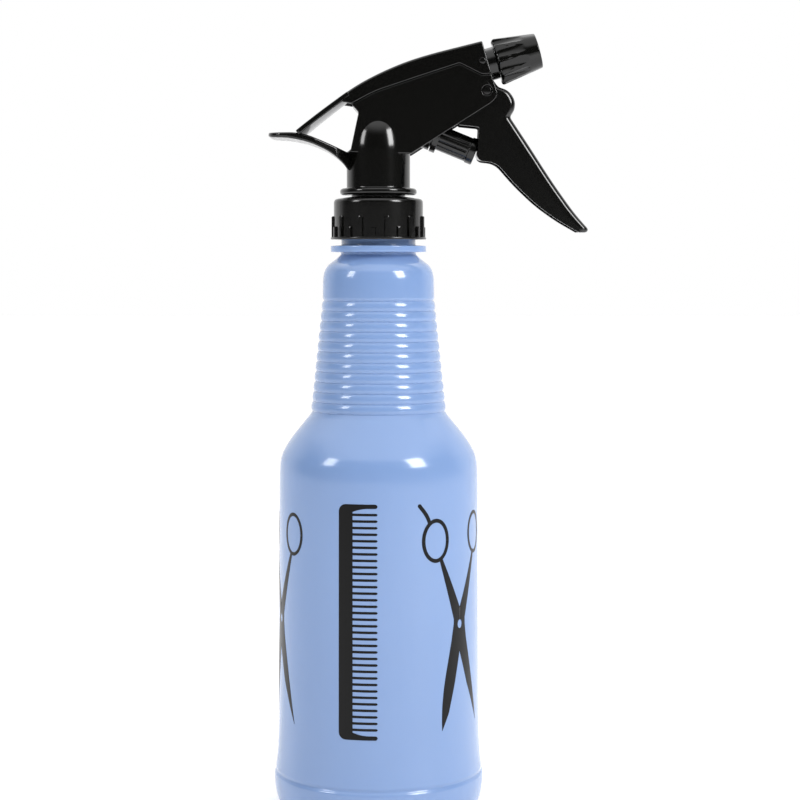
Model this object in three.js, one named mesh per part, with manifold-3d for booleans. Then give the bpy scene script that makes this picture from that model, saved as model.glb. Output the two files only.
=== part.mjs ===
// A hand-held spray bottle: a ribbed blow-moulded bottle and a screw-on trigger pump head.
// Millimetres, +Z up. The origin is the centre of the bottle's base and +X is the way it sprays.
import * as THREE from 'three';
import { mergeVertices } from 'three/addons/utils/BufferGeometryUtils.js';
import Module from 'manifold-3d';

const wasm = await Module();
wasm.setup();

// ---------------------------------------------------------------- driving dimensions
const WALL = 1.2; // bottle wall
const BODY_R = 35.2; // bottle body radius
const BODY_TOP = 123; // where the straight body ends
const RIB_COUNT = 11;
const RIB_FIRST = 141.6; // height of the lowest groove between the neck ribs
const RIB_PITCH = 3.5;
const RIB_DEPTH = 0.5;
const NECK_R = 12.9; // root radius of the 28 mm screw neck
const NECK_BORE = 10.9;
const THREAD_R = 13.7;
const RIM_Z = 210.5;
const BEAD_R = 16.6; // transfer bead under the collar

const COLLAR_Z = 201.2;
const COLLAR_R = 15.5;
const COLLAR_BORE = 14;
const GRIP_COUNT = 22;

const STEM_R = 11;
const STEM_Z = 218.9; // top of the disc that the stem stands on
const DOME_Z = 231.4; // where the stem begins to close as a dome
const DOME_H = 16.4;
const CHEEK = 8.6; // half-width over the two side plates
const CHEEK_IN = 7.2; // half-width between them
const SEAM = 0.3; // gap along the line where the cover sits on the side plates

const PIVOT = [37.3, 252]; // x and z of the trigger's pivot
const PIVOT_HOLE_R = 1.75;
const TRUNNION_R = 1.5;
const TRIGGER_W = 6.9; // trigger half-width
const TRIGGER_IN = 5.8;

const PUMP_AT = [33.7, 231.3]; // x and z of the piston's pushed end, at rest
const PUMP_TILT = 22; // degrees that the pump axis rises towards the stem
const CYLINDER_R = 5.5;
const CYLINDER_BORE = 4.65;
const CYLINDER_MOUTH = 15.7; // along the pump axis, from the piston's pushed end
const CYLINDER_FLOOR = 29;
const BUSH_R = 5.65; // guide bush in front of the cylinder's mouth
const BUSH_LENGTH = 2;
const PISTON_R = 4.3;
const PISTON_LENGTH = 19.9;

const BARREL_AT = [40.8, 262.2]; // x and z of the barrel's shoulder, behind the nozzle
const BARREL_TILT = 15.8; // degrees that the barrel rises towards the nozzle
const BARREL_R = 3.2;
const VALVE_BORE = 2.3;
const CHANNEL_R = 1.6; // rising channel in the stem
const BARREL_BORE = 1.45;
const NOSE_R = 3.3; // barrel nose inside the nozzle
const NOSE_LENGTH = 8;
const HUB_R = 5.6;
const HUB_BACK = 3.1; // hub length behind the barrel's shoulder
const NOZZLE_BACK_R = 8.2;
const NOZZLE_FRONT_R = 6;
const NOZZLE_LENGTH = 15.1;
const FLUTE_COUNT = 10;

const DIP_R = 3;
const DIP_BORE = 2;
const DIP_END = 6;
const DIP_TOP = 213.4;

// ---------------------------------------------------------------- finishes
const finish = (color, roughness, metalness = 0) =>
  new THREE.MeshStandardMaterial({ color, roughness, metalness });
const BLUE = finish(0x93aede, 0.22);
const BLACK = finish(0x141412, 0.3);
const CLEAR = finish(0xe8ece8, 0.25);
const NATURAL = finish(0xe4e2d8, 0.4);
const RUBBER = finish(0x2a2a2c, 0.7);
const STEEL = finish(0xb9bcc0, 0.25, 1);

// ---------------------------------------------------------------- helpers
const radians = THREE.MathUtils.degToRad;

/** A closed geometry as a manifold solid, with its shared corners merged. */
function solid(geometry) {
  const bare = geometry.clone();
  bare.deleteAttribute('normal');
  bare.deleteAttribute('uv');
  const merged = mergeVertices(bare, 1e-4);
  const corners = merged.index.array;
  const kept = [];
  for (let i = 0; i < corners.length; i += 3) {
    const [a, b, c] = corners.subarray(i, i + 3);
    if (a !== b && b !== c && c !== a) kept.push(a, b, c);
  }
  const vertProperties = merged.attributes.position.array;
  return new wasm.Manifold(new wasm.Mesh({ numProp: 3, vertProperties, triVerts: new Uint32Array(kept) }));
}

/** A named mesh of a manifold solid. */
function piece(name, shape, material) {
  const { vertProperties, triVerts } = shape.getMesh();
  const geometry = new THREE.BufferGeometry();
  geometry.setAttribute('position', new THREE.BufferAttribute(vertProperties, 3));
  geometry.setIndex(new THREE.BufferAttribute(triVerts, 1));
  geometry.computeVertexNormals();
  const mesh = new THREE.Mesh(geometry, material);
  mesh.name = name;
  return mesh;
}

/** A solid of revolution about Z. The profile of [radius, z] goes up its outside and down its inside. */
function revolve(profile, segments = 28) {
  const points = profile.map(([r, z]) => new THREE.Vector2(r, z));
  return solid(new THREE.LatheGeometry(points, segments).rotateX(Math.PI / 2));
}

/** A washer-like profile, closed on itself. */
const ringProfile = (rIn, rOut, z0, z1) => [[rOut, z0], [rOut, z1], [rIn, z1], [rIn, z0], [rOut, z0]];

/** An outline in the XZ plane: [x, z] corners, and arrays of them for smooth stretches. */
function outline(stretches) {
  const shape = new THREE.Shape();
  const [first, ...rest] = stretches;
  shape.moveTo(...first);
  for (const stretch of rest) {
    if (Array.isArray(stretch[0])) shape.splineThru(stretch.map(([x, z]) => new THREE.Vector2(x, z)));
    else shape.lineTo(...stretch);
  }
  return shape;
}

/** The outline given thickness across Y, from y0 to y1. */
function slab(stretches, y0, y1, curveSegments = 2) {
  const settings = { depth: y1 - y0, bevelEnabled: false, curveSegments };
  const geometry = new THREE.ExtrudeGeometry(outline(stretches), settings);
  return solid(geometry.rotateX(Math.PI / 2).translate(0, y1, 0));
}

/** An outline in the XY plane given height, from z0 to z1. */
function plate(stretches, z0, z1) {
  const settings = { depth: z1 - z0, bevelEnabled: false, curveSegments: 2 };
  return solid(new THREE.ExtrudeGeometry(outline(stretches), settings).translate(0, 0, z0));
}

/** A round rod or a cone along Z, from z0 to z1. */
function rod(r0, z0, z1, r1 = r0, segments = 20) {
  const geometry = new THREE.CylinderGeometry(r1, r0, z1 - z0, segments);
  return solid(geometry.rotateX(Math.PI / 2).translate(0, 0, (z0 + z1) / 2));
}

/** A round rod across Y at [x, z], from y0 to y1. */
function crossRod(radius, [x, z], y0, y1, segments = 16) {
  const geometry = new THREE.CylinderGeometry(radius, radius, y1 - y0, segments);
  return solid(geometry.translate(x, (y0 + y1) / 2, z));
}

/** A box from its lowest to its highest corner. */
function block([x0, y0, z0], [x1, y1, z1]) {
  const geometry = new THREE.BoxGeometry(x1 - x0, y1 - y0, z1 - z0);
  return solid(geometry.translate((x0 + x1) / 2, (y0 + y1) / 2, (z0 + z1) / 2));
}

/** The turn about Y that leads +Z along the pump axis, towards the stem. */
const pumpTurn = -(90 - PUMP_TILT);
/** The turn about Y that leads +Z along the barrel, towards the nozzle. */
const barrelTurn = 90 - BARREL_TILT;

/** Places a solid that was made along Z onto an inclined axis. */
const along = (shape, turn, [x, z]) => shape.rotate([0, turn, 0]).translate([x, 0, z]);

/** A group whose Z axis is an inclined axis of the head. */
function inclined(turn, [x, z], pieces) {
  const group = new THREE.Group();
  group.position.set(x, 0, z);
  group.rotation.y = radians(turn);
  group.add(...pieces);
  return group;
}

class Helix extends THREE.Curve {
  constructor(radius, z0, z1, turns) {
    super();
    Object.assign(this, { radius, z0, z1, turns });
  }

  getPoint(t, target = new THREE.Vector3()) {
    const angle = 2 * Math.PI * this.turns * t;
    const z = this.z0 + (this.z1 - this.z0) * t;
    return target.set(this.radius * Math.cos(angle), this.radius * Math.sin(angle), z);
  }
}

/** A round wire wound on a helix. */
function coil(wire, radius, z0, z1, turns, stepsPerTurn, sides = 6) {
  const section = new THREE.Shape();
  section.absarc(0, 0, wire, 0, 2 * Math.PI);
  const settings = {
    steps: Math.round(turns * stepsPerTurn),
    curveSegments: sides / 2,
    extrudePath: new Helix(radius, z0, z1, turns),
  };
  return solid(new THREE.ExtrudeGeometry(section, settings));
}

// ---------------------------------------------------------------- bottle
/** The ribbed cone between shoulder and collar: a rounded crest between each two grooves. */
function ribProfile() {
  const points = [];
  for (let i = 0; i < RIB_COUNT; i += 1) {
    const z = RIB_FIRST + i * RIB_PITCH;
    const crest = 23.7 - (z - RIB_FIRST) * 0.107;
    points.push([crest - RIB_DEPTH, z]);
    points.push([crest, z + RIB_PITCH / 2]);
  }
  return points;
}

function bottle() {
  const base = [[0, 0], [29.5, 0], [33, 1], [35, 3], [36.3, 7], [36.9, 12]];
  const groove = [[36.7, 14.3], [36, 15.3], [36.3, 16.3]];
  const body = [[BODY_R + 0.5, 21.7], [BODY_R + 0.1, 31.7], [BODY_R - 0.5, 121]];
  const shoulder = [[34.1, BODY_TOP + 3], [32.2, 129.5], [29.9, 133], [24, 140.3]];
  const dome = [[19.4, 180.2], [19.3, 188.9], [18, 192], [15.2, 194.1], [13.1, 195.9]];
  const bead = [[13.1, 196.6], [BEAD_R, 196.9], [BEAD_R, 199], [NECK_R, 199.3]];
  const rim = [[NECK_R, RIM_Z], [NECK_BORE, RIM_Z]];
  const insideTop = [[NECK_BORE, 194], [16.2, 191], [18, 187.5], [18.1, 180]];
  const insideLow = [[22.3, 143.5], [22.9, 139.8], [30.9, 129.5], [33.3, 120.5]];
  const floor = [[BODY_R - WALL, 31.7], [35.6, 12], [34.2, 4], [32, 2], [28, WALL], [0, WALL]];
  const outside = [...base, ...groove, ...body, ...shoulder, ...ribProfile(), ...dome, ...bead];
  const shell = revolve([...outside, ...rim, ...insideTop, ...insideLow, ...floor], 32);
  const thread = coil(0.8, THREAD_R - 0.8, 203.4, 208.7, 1.25, 18);
  const solidThread = thread.subtract(rod(NECK_R - 0.5, 190, 220, NECK_R - 0.5, 32));
  return piece('bottle', shell.add(solidThread), BLUE);
}

// ---------------------------------------------------------------- closure
/** Alternately tall and short grip ribs round the collar, one short rib facing the side. */
function gripRibs() {
  const foot = COLLAR_Z + 0.8;
  const ribs = [];
  for (let i = 0; i < GRIP_COUNT; i += 1) {
    const top = i % 2 ? 209.3 : 205.7;
    const rib = block([COLLAR_R - 0.4, -0.68, foot], [COLLAR_R + 0.8, 0.68, top]);
    ribs.push(rib.rotate([0, 0, -90 - 5.4 + (i * 360) / GRIP_COUNT]));
  }
  return wasm.Manifold.union(ribs);
}

function closureCollar() {
  const profile = [
    [COLLAR_BORE, COLLAR_Z], [16.6, COLLAR_Z], [16.6, COLLAR_Z + 0.9], [COLLAR_R, COLLAR_Z + 1],
    [COLLAR_R, 214.6], [15, 215.1], [9.6, 216], [9.6, 213.9], [COLLAR_BORE, 213.9],
    [COLLAR_BORE, COLLAR_Z],
  ];
  return piece('closure_collar', revolve(profile, 44).add(gripRibs()), BLACK);
}

const neckGasket = () => piece('neck_gasket', revolve(ringProfile(5, 13, 210.7, 212.2), 24), RUBBER);

// ---------------------------------------------------------------- pump frame
/** Disc, stem and the bullet-shaped dome on top of the stem, cut flat at its rear. */
function stem() {
  const dome = [];
  for (let angle = 15; angle < 90; angle += 15) {
    const a = radians(angle);
    dome.push([STEM_R * Math.cos(a), DOME_Z + DOME_H * Math.sin(a)]);
  }
  const disc = [[12.7, 216.5], [13.3, 217.1], [13.3, 218.3], [12.7, STEM_Z]];
  const profile = [[0, 213.8], [9.3, 213.8], [9.3, 216.5], ...disc, [STEM_R, STEM_Z], [STEM_R, DOME_Z]];
  const behind = slab([[-16, 231.6], [-9.2, 231.6], [-6.3, 245], [-6.3, 250], [-16, 250]], -12, 12);
  return revolve([...profile, ...dome, [0, DOME_Z + DOME_H]], 32).subtract(behind);
}

/** The upper edge of the side plates, where the cover sits, from the front backwards. */
const stepLine = (lift) =>
  [[38.8, 257.5], [35.5, 257.3], [27.9, 261.1], [14.3, 256.7], [-1, 251.6], [-9, 247.4]]
    .map(([x, z]) => [x, z + lift]);

/** The two side plates with their rear wall, open above, below and in front. */
function sidePlates() {
  const lower = [[-9.6, 231], [11.2, 230.4], [38.6, 247.7], [[39.9, 248.8], [40.9, 250.8]]];
  const sides = slab([[-6.7, 244.6], ...lower, ...stepLine(-SEAM / 2)], -CHEEK, CHEEK);
  const between = [[-5, 262], [-8.1, 232.4], [8, 232.4], [8, 220], [60, 220], [60, 280], [-5, 280]];
  return sides.subtract(slab(between, -CHEEK_IN, CHEEK_IN));
}

/** The rear rest for the hand: a strap that leaves the stem and ends as a flat tail. */
function tailStrap() {
  const under = [[-11.9, 227.2], [-16.4, 231.1], [-23.2, 234.5], [-30, 235.9], [-36.9, 236.1]];
  const over = [[-24.2, 236.8], [-18.1, 234.5], [-10.6, 231.1]];
  const side = [[-5, 224.8], [-10.4, 224.8], under, [-37.8, 236.8], [-37.1, 237.4], [-27, 237.3], over];
  const half = [[-6, 9], [-14, 10], [-22, 11], [-31, 11], [-35.5, 9.5], [-37.8, 6]];
  const mirrored = half.map(([x, y]) => [x, -y]).reverse();
  return slab([...side, [-5, 233.5]], -12, 12).intersect(plate([[0, 9], ...half, ...mirrored, [0, -9]], 220, 245));
}

/** The barrel with the hub and the bulkhead that close the front of the head. */
function barrel() {
  const back = -42;
  const hub = rod(HUB_R, -HUB_BACK - 0.5, 0);
  const tube = rod(BARREL_R, back, 0).add(rod(NOSE_R, -1, NOSE_LENGTH)).add(hub);
  const bulkhead = rod(CHEEK_IN - 0.2, -HUB_BACK - 3.1, -HUB_BACK, CHEEK_IN - 0.2, 28);
  const forTrigger = block([20, -9, 240], [45, 9, 256.2]);
  const forCover = slab([[25, 263.6], [36.2, 266.6], [36.2, 280], [25, 280]], -9, 9);
  const wall = along(bulkhead, barrelTurn, BARREL_AT).subtract(forTrigger).subtract(forCover);
  const whole = along(tube, barrelTurn, BARREL_AT).add(wall);
  const peg = crossRod(0.8, [35.7, 262.1], -8.2, 8.2, 12);
  const boss = rod(4.5, 240, 253.3);
  return whole.add(peg).add(boss);
}

/** Liquid ways: socket, rising channel, port into the cylinder, barrel bore and valve chamber. */
function channels() {
  const bore = rod(CYLINDER_BORE, CYLINDER_MOUTH - 1, CYLINDER_FLOOR, CYLINDER_BORE, 24);
  const pump = along(bore.add(rod(1.2, CYLINDER_FLOOR - 1, 36.4, 1.2, 12)), pumpTurn, PUMP_AT);
  const bores = rod(BARREL_BORE, -42.4, 1, BARREL_BORE, 16).add(rod(VALVE_BORE, -14, NOSE_LENGTH + 1));
  const socket = rod(7, 213, 222, 7, 24);
  const rising = rod(CHANNEL_R, 221, 251, CHANNEL_R, 16);
  return pump.add(along(bores, barrelTurn, BARREL_AT)).add(socket).add(rising);
}

function pumpFrame() {
  const cylinder = along(rod(CYLINDER_R, CYLINDER_MOUTH, 31, CYLINDER_R, 24), pumpTurn, PUMP_AT);
  const whole = sidePlates().add(stem()).add(tailStrap()).add(cylinder).add(barrel());
  const pivots = crossRod(PIVOT_HOLE_R, PIVOT, -10, 10);
  return piece('pump_frame', whole.subtract(channels()).subtract(pivots), BLACK);
}

// ---------------------------------------------------------------- cover
function topCover() {
  const crown = [[25.2, 265.6], [11.3, 261.8], [0.7, 258.1], [-10.2, 252.3], [-18.8, 246.2], [-26.3, 239.8]];
  const loop = [[-23.9, 238.1], [-13.3, 247.2], [-12.1, 247.9]];
  const edge = stepLine(SEAM / 2);
  const side = [[35.7, 268.4], crown, [-28.5, 238], [-28.5, 237.6], ...loop, ...edge.reverse()];
  const half = [[-9, CHEEK], [-15, 11], [-19, 12], [-25, 12], [-28.6, 11.5]];
  const mirrored = half.map(([x, y]) => [x, -y]).reverse();
  const plan = plate([[45, CHEEK], ...half, ...mirrored, [45, -CHEEK]], 230, 275);
  const under = [[25.2, 264], [11.3, 260.2], [0.7, 256.4], [-7.5, 252.1]];
  const hollow = slab([[50, 270.5], under, [-8.4, 247], [-8.4, 240], [50, 240]], -CHEEK_IN, CHEEK_IN);
  const snap = crossRod(1, [35.7, 262.1], -10, 10, 12);
  const shape = slab(side, -13, 13).intersect(plan).subtract(hollow).subtract(snap);
  return piece('top_cover', shape, BLACK);
}

// ---------------------------------------------------------------- trigger
function trigger() {
  const nose = [[44.9, 250.6], [47.6, 247.5], [47.3, 244.6], [45.9, 242.8]];
  const front = [[52.5, 232.9], [60.2, 221], [67.9, 210.3], [72.8, 204.5]];
  const back = [[62.2, 207.5], [54.5, 213], [46.8, 220.3], [40.6, 227.5]];
  const rear = [[35.2, 228.1], [34.1, 229.1], [34.6, 239.7], [27.5, 240.3], [30.5, 247.5], [34.2, 253.6]];
  const side = [[36.2, 255.4], [38.4, 255.4], [41.1, 251.6], nose, front, [72, 203.5], [69.5, 203.6]];
  const body = slab([...side, back, ...rear], -TRIGGER_W, TRIGGER_W);
  const channel = [
    [20, 247], [33.5, 247], [36, 248], [42, 249.2], [45.6, 247], [45.3, 244.8], [44.1, 242.4],
    [50.9, 232.2], [58.7, 220.2], [66.4, 209.5], [69, 205.8], [66, 200], [30, 200], [20, 236],
  ];
  const hollow = slab(channel, -TRIGGER_IN, TRIGGER_IN);
  const reach = 2.3; // from the piston's end to the middle of the rib that pushes it
  const tilt = radians(PUMP_TILT);
  const ribAt = [PUMP_AT[0] + reach * Math.cos(tilt), PUMP_AT[1] - reach * Math.sin(tilt)];
  const pushRib = crossRod(2, ribAt, -TRIGGER_IN - 0.3, TRIGGER_IN + 0.3);
  const web = slab([[35.6, 229.2], [53.2, 229.2], [51.5, 232.4], [36.2, 231.6]], -0.7, 0.7);
  const trunnions = crossRod(TRUNNION_R, PIVOT, -8.2, 8.2);
  const whole = body.subtract(hollow).add(pushRib).add(web).add(trunnions);
  return piece('trigger', whole, BLACK);
}

// ---------------------------------------------------------------- pump, made along the pump axis
const sealGroove = (z) => [[PISTON_R, z], [3.2, z], [3.2, z + 1.5], [PISTON_R, z + 1.5]];
const sealRing = (name, z) => piece(name, revolve(ringProfile(3.35, 4.5, z + 0.15, z + 1.35), 20), RUBBER);

function pumpPieces() {
  const wiper = 15.9;
  const cup = 18;
  const mouth = CYLINDER_MOUTH - 0.3;
  const bush = ringProfile(PISTON_R + 0.15, BUSH_R, mouth - BUSH_LENGTH, mouth);
  const head = [[0, 0], [4.6, 0], [4.6, 2.5], [PISTON_R, 2.5]];
  const inside = [[2.7, PISTON_LENGTH], [2.7, 5], [0, 5]];
  const profile = [...head, ...sealGroove(wiper), ...sealGroove(cup), [PISTON_R, PISTON_LENGTH], ...inside];
  const springWire = 0.35;
  return [
    piece('piston', revolve(profile, 20), BLACK),
    piece('cylinder_bush', revolve(bush, 20), BLACK),
    sealRing('piston_cup', cup),
    sealRing('vent_seal', wiper),
    piece('return_spring', coil(springWire, 1.9, 5.6, CYLINDER_FLOOR - 0.6, 7, 9), STEEL),
  ];
}

// ---------------------------------------------------------------- supply, on the bottle's axis
/** The plug that holds gasket and dip tube to the stem, with the seat of the inlet ball. */
function valveHousing() {
  const outside = [[3.3, 204], [4.6, 204], [4.6, 212.4], [13, 212.4], [13, 213.6], [6.7, 213.6]];
  const plug = [[6.7, 221.7], [2.6, 221.7], [2.6, 218.9], [1.3, 217.6], [1.3, 213.8], [3.3, 213.8]];
  return piece('valve_housing', revolve([...outside, ...plug, [3.3, 204]], 24), NATURAL);
}

const inletBall = () => {
  const geometry = new THREE.SphereGeometry(2, 12, 8);
  return piece('inlet_ball', solid(geometry.rotateX(Math.PI / 2).translate(0, 0, 219.7)), STEEL);
};

/** The dip tube, cut at a slant at its foot. */
function dipTube() {
  const tube = revolve(ringProfile(DIP_BORE, DIP_R, DIP_END, DIP_TOP), 16);
  const slant = slab([[-4, 0], [4, 0], [4, DIP_END + 4], [-4, DIP_END]], -4, 4);
  return piece('dip_tube', tube.subtract(slant), CLEAR);
}

// ---------------------------------------------------------------- nozzle, made along the barrel
function outletPieces() {
  const valve = [[0, -13.3], [1.2, -13.3], [2, -12.3], [2, -11.2], [0.8, -11], [0.8, -8.5], [0, -8.5]];
  const grooves = [0, 90].map((turn) => block([-0.4, -3, -3], [0.4, 3, 9]).rotate([0, 0, turn]));
  const core = rod(2.1, -1.8, 7.7, 2.1, 16);
  const middle = rod(1.4, -1.8, 7.7, 1.4, 12);
  const spinner = core.subtract(grooves[0]).subtract(grooves[1]).add(middle);
  return [
    piece('outlet_valve', revolve(valve, 16), NATURAL),
    piece('outlet_spring', coil(0.22, 1.45, -10.6, -2.2, 6, 8), STEEL),
    piece('spinner', spinner, NATURAL),
  ];
}

/** Grooves that run out towards the front of the nozzle. */
function flutes() {
  const cuts = [];
  for (let i = 0; i < FLUTE_COUNT; i += 1) {
    const cut = rod(2, -1, 11, 0.9, 10).rotate([0, -13, 0]).translate([NOZZLE_BACK_R + 0.9, 0, 0]);
    cuts.push(cut.rotate([0, 0, (i * 360) / FLUTE_COUNT]));
  }
  return wasm.Manifold.union(cuts);
}

function nozzlePieces() {
  const gap = 0.3;
  const front = NOZZLE_LENGTH;
  const outside = [[4, gap], [NOZZLE_BACK_R - 0.3, gap], [NOZZLE_BACK_R, 0.8], [NOZZLE_FRONT_R, front]];
  const mouth = [[3.1, front], [3.1, 12.2], [1.2, 12.2], [1.2, 10.6], [4, 10.6]];
  const groove = [[4, 5], [4.8, 5], [4.8, 3.4], [4, 3.4], [4, gap]];
  const cap = revolve([...outside, ...mouth, ...groove], 40).subtract(flutes());
  const ring = [];
  for (let angle = 0; angle <= 360; angle += 45) {
    ring.push([4.05 + 0.62 * Math.cos(radians(angle)), 4.2 + 0.62 * Math.sin(radians(angle))]);
  }
  const insert = ringProfile(0.45, 2.9, 12.4, 14.1);
  return [
    piece('nozzle_cap', cap, BLACK),
    piece('nozzle_o_ring', revolve(ring, 20), RUBBER),
    piece('orifice_insert', revolve(insert, 20), BLACK),
  ];
}

// ---------------------------------------------------------------- assembly
const sprayBottle = new THREE.Group();
sprayBottle.add(bottle(), closureCollar(), neckGasket(), pumpFrame(), topCover(), trigger());
sprayBottle.add(valveHousing(), inletBall(), dipTube());
sprayBottle.add(inclined(pumpTurn, PUMP_AT, pumpPieces()));
sprayBottle.add(inclined(barrelTurn, BARREL_AT, [...outletPieces(), ...nozzlePieces()]));

export default sprayBottle;
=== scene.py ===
"""A spray bottle dressed for display: ribbed blue bottle, printed comb and scissors, black trigger pump head.

Shapes are worked out in millimetres on the shared frame: +Z up, +X the way it sprays, origin under the
bottle.
"""

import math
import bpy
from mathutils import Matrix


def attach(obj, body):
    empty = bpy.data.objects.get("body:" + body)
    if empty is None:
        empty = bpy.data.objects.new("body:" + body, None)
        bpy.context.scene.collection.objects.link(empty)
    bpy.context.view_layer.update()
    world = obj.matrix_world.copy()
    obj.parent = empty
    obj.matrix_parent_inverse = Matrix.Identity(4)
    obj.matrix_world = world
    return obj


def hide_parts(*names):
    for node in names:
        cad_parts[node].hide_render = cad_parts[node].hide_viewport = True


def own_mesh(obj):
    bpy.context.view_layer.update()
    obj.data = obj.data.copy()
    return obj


bl_info = {
    "name": "Spray Bottle",
    "version": (1, 0, 0),
    "blender": (4, 5, 0),
    "location": "View3D > Sidebar > Spray Bottle",
    "description": "Builds a spray bottle with a working trigger pump head",
    "category": "Add Mesh",
}

import bmesh
import bpy
import numpy as np
from bpy.props import FloatProperty, FloatVectorProperty, IntProperty, PointerProperty
from mathutils import Vector
from mathutils.geometry import tessellate_polygon

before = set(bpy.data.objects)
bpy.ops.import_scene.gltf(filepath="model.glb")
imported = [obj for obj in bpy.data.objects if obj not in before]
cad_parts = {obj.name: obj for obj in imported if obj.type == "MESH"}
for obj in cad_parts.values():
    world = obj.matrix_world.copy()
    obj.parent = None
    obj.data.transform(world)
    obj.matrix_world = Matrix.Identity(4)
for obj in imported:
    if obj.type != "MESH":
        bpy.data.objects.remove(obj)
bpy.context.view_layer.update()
MM = 0.001

# Places (x, z) and leans from Z: trigger pivot, pump and barrel. The pump's two depths run along its axis.
PIVOT = np.array([37.3, 252.0])
PUMP_AT, PUMP_TURN = (33.7, 231.3), -68.0
BARREL_AT, BARREL_TURN = (40.8, 262.2), 74.2
CYLINDER_MOUTH, CYLINDER_FLOOR = 15.7, 29.0
BODY_RADIUS = 35
GRIP_RADIUS = 15.9
SHARP_ANGLE = 38


# ---------------------------------------------------------------- sizes and colours
def linear(red, green, blue):
    """A colour of 0 to 255 steps as linear light: (c / 255) to the power 2.2, near enough for plastics."""
    return tuple((c / 255) ** 2.2 for c in (red, green, blue))


def length(name, description, millimetres):
    """A length that the user may change, in the scene's unit."""
    return FloatProperty(
        name=name, description=description, default=millimetres * MM, min=0, unit="LENGTH", precision=4
    )


def colour(name, description, *steps):
    """A colour that the user may change."""
    return FloatVectorProperty(
        name=name, description=description, default=linear(*steps), size=3, min=0, max=1, subtype="COLOR"
    )


class SprayBottleSizes(bpy.types.PropertyGroup):
    """Sizes of the details that the frame leaves to the looks."""

    rib_depth: length("Rib depth", "Depth of the grooves between the neck ribs", 0.55)
    rib_count: IntProperty(name="Neck ribs", description="Number of ribs up the cone", default=11, min=1)
    ink_thickness: length("Ink thickness", "How far the print stands off the bottle", 0.05)
    tooth_count: IntProperty(name="Comb teeth", description="Fine teeth of the comb", default=34, min=2)
    grip_height: length("Grip height", "How far the collar's grip ribs stand out", 0.8)
    grip_count: IntProperty(name="Grip ribs", description="Tall and short ribs together", default=22, min=2)
    edge: length("Edge rounding", "Radius of the moulded edges of the head", 0.3)
    flute_depth: length("Flute depth", "Depth of the nozzle's flutes at its rear", 1.4)
    flute_count: IntProperty(name="Nozzle flutes", description="Flutes round the nozzle", default=10, min=3)


class SprayBottleColours(bpy.types.PropertyGroup):
    """Colours of the mouldings, the print and the metal."""

    bottle: colour("Bottle", "Blow-moulded blue plastic", 116, 142, 185)
    head: colour("Head", "Black plastic of the pump head", 14, 14, 13)
    ink: colour("Ink", "Screen print on the bottle", 6, 6, 8)
    rubber: colour("Rubber", "Seals and gasket", 30, 30, 31)
    natural: colour("Natural plastic", "Uncoloured inner parts", 226, 224, 214)
    steel: colour("Steel", "Springs and ball", 190, 193, 198)
    floor: colour("Floor", "Pale studio floor", 246, 246, 247)


# ---------------------------------------------------------------- lines
def softened(corners, closed=False):
    """A line of corners (a, b) or (a, b, reach) with each corner rounded.

    The line leaves each straight at most `reach` before its corner C, at P, and is back at Q as far beyond
    it, along (1 - t)^2 P + 2 t (1 - t) C + t^2 Q.
    """
    table = np.array([(*c, 0)[:3] for c in corners], float)
    at, reach = table[:, :2], table[:, 2]
    t = np.linspace(0, 1, 6)[:, None, None]

    def towards(neighbour):
        """Each corner moved towards a neighbour by its reach, or half the straight where that is less."""
        step = neighbour - at
        size = np.linalg.norm(step, axis=1)
        return at + step * (np.minimum(reach, size / 2) / np.maximum(size, 1e-9))[:, None]

    first, last = towards(np.roll(at, 1, 0)), towards(np.roll(at, -1, 0))
    if not closed:
        first[[0, -1]] = last[[0, -1]] = at[[0, -1]]
    line = (1 - t) ** 2 * first + 2 * t * (1 - t) * at + t**2 * last
    line = line.transpose(1, 0, 2).reshape(-1, 2)
    gap = np.linalg.norm(line - np.roll(line, 1, 0), axis=1)
    return line[(gap > 1e-5) | ((np.arange(len(line)) == 0) & (not closed))]


def evenly(line, count):
    """The points that split a line into equal lengths."""
    line = np.asarray(line, float)
    run = np.r_[0, np.cumsum(np.linalg.norm(np.diff(line, axis=0), axis=1))]
    at = np.linspace(0, run[-1], count)
    return np.stack([np.interp(at, run, column) for column in line.T], -1)


def circle(centre, radius, sides=28):
    """Points of a circle: centre + radius (cos a, sin a)."""
    angle = np.linspace(0, 2 * np.pi, sides, endpoint=False)
    return np.stack([centre[0] + radius * np.cos(angle), centre[1] + radius * np.sin(angle)], -1)


def drawn_in(loop, inset):
    """A closed loop moved to its left: each corner by inset / cos(half its turn), on the mean normal."""
    along = np.roll(loop, -1, 0) - loop
    along /= np.linalg.norm(along, axis=1)[:, None]
    normal = np.stack([-along[:, 1], along[:, 0]], -1)
    mean = normal + np.roll(normal, 1, 0)
    return loop + inset * mean * (2 / np.maximum((mean**2).sum(1), 0.6))[:, None]


def turning(loop, left):
    """The loop with its inside on its left, or on its right."""
    x, z = loop.T
    area = (x * np.roll(z, -1) - z * np.roll(x, -1)).sum()
    return loop if (area > 0) == left else loop[::-1]


# ---------------------------------------------------------------- surfaces
def skin(grid):
    """A grid of points, closed round its columns, with a four-sided face in each of its squares."""
    rows, columns = grid.shape[:2]
    row, column = np.arange(rows - 1)[:, None], np.arange(columns)[None, :]
    next_row, next_column = row + 1, (column + 1) % columns
    corners = [row * columns + column, row * columns + next_column]
    corners += [next_row * columns + next_column, next_row * columns + column]
    faces = np.stack([np.broadcast_to(c, np.broadcast(row, column).shape) for c in corners], -1)
    return grid.reshape(-1, 3), faces.reshape(-1, 4).tolist()


def lofted(grid):
    """Closed sections joined in a row, with a flat face on the first and the last."""
    points, faces = skin(grid)
    rows, columns = grid.shape[:2]
    first = list(range(columns))
    return points, [*faces, first, [(rows - 1) * columns + i for i in first]]


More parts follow.
